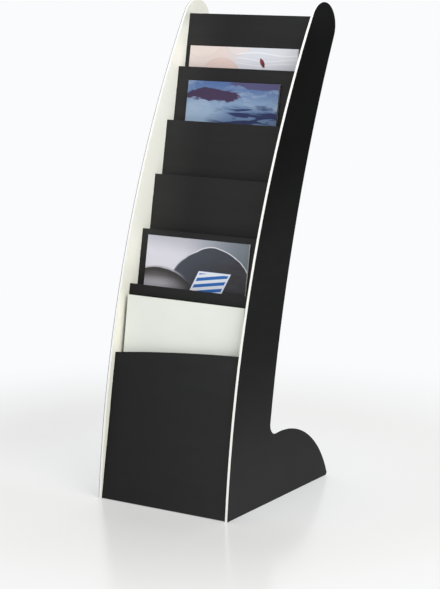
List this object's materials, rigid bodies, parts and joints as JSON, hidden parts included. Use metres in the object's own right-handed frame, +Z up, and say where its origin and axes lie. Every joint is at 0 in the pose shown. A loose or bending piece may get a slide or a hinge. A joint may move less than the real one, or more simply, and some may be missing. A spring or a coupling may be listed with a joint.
{
  "type": "brochure holder",
  "caption": "Free-standing brochure holder: curved side boards on long feet carry a stack of leaning pockets for brochures and folders.",
  "frame": {"origin": "on the floor, under the middle of the holder's bounding box", "axes": "+X to the right seen from the front, +Y towards the back, +Z up"},
  "size_m": [0.2446, 0.3259, 0.785],
  "materials": {
    "black_laminate": "fine satin black",
    "ivory_laminate": "satin ivory",
    "white_core": "sawn and polished white edge",
    "black_panel": "fine matte black",
    "pale_cover": null,
    "blue_cover": null,
    "grey_cover": null,
    "cream_card": "uncoated cream card",
    "page_paper": "stacked paper edges"
  },
  "bodies": {
    "stand": {"left_outer_laminate": "black_laminate", "left_core": "white_core", "left_inner_laminate": "ivory_laminate", "right_inner_laminate": "ivory_laminate", "right_core": "white_core", "right_outer_laminate": "black_laminate", "front_panel": "black_panel", "base_board": "black_panel", "rear_rail": "black_panel", "pocket_panel_1": "black_panel", "pocket_panel_2": "black_panel", "pocket_panel_3": "black_panel", "pocket_panel_4": "black_panel", "pocket_panel_5": "black_panel", "pocket_panel_6": "black_panel", "pocket_floor_1": "black_panel", "pocket_floor_2": "black_panel", "pocket_floor_3": "black_panel", "pocket_floor_4": "black_panel", "pocket_floor_5": "black_panel"},
    "square_brochure": {"square_brochure_cover": "pale_cover", "square_brochure_pages": "page_paper"},
    "booklet": {"booklet_cover": "blue_cover", "booklet_pages": "page_paper"},
    "tall_brochure": {"tall_brochure_cover": "grey_cover", "tall_brochure_pages": "page_paper"},
    "folder": {"folder_cover": "cream_card", "folder_sheets": "page_paper"}
  },
  "joints": [
    {"name": "square_brochure_lift", "type": "slide", "parent": "stand", "child": "square_brochure", "axis": [0, 0.1779, 0.984], "range_m": [0, 0.2]},
    {"name": "booklet_lift", "type": "slide", "parent": "stand", "child": "booklet", "axis": [0, 0.1779, 0.984], "range_m": [0, 0.2]},
    {"name": "tall_brochure_lift", "type": "slide", "parent": "stand", "child": "tall_brochure", "axis": [0, 0.1779, 0.984], "range_m": [0, 0.2]},
    {"name": "folder_lift", "type": "slide", "parent": "stand", "child": "folder", "axis": [0, 0.1547, 0.988], "range_m": [0, 0.265]}
  ]
}
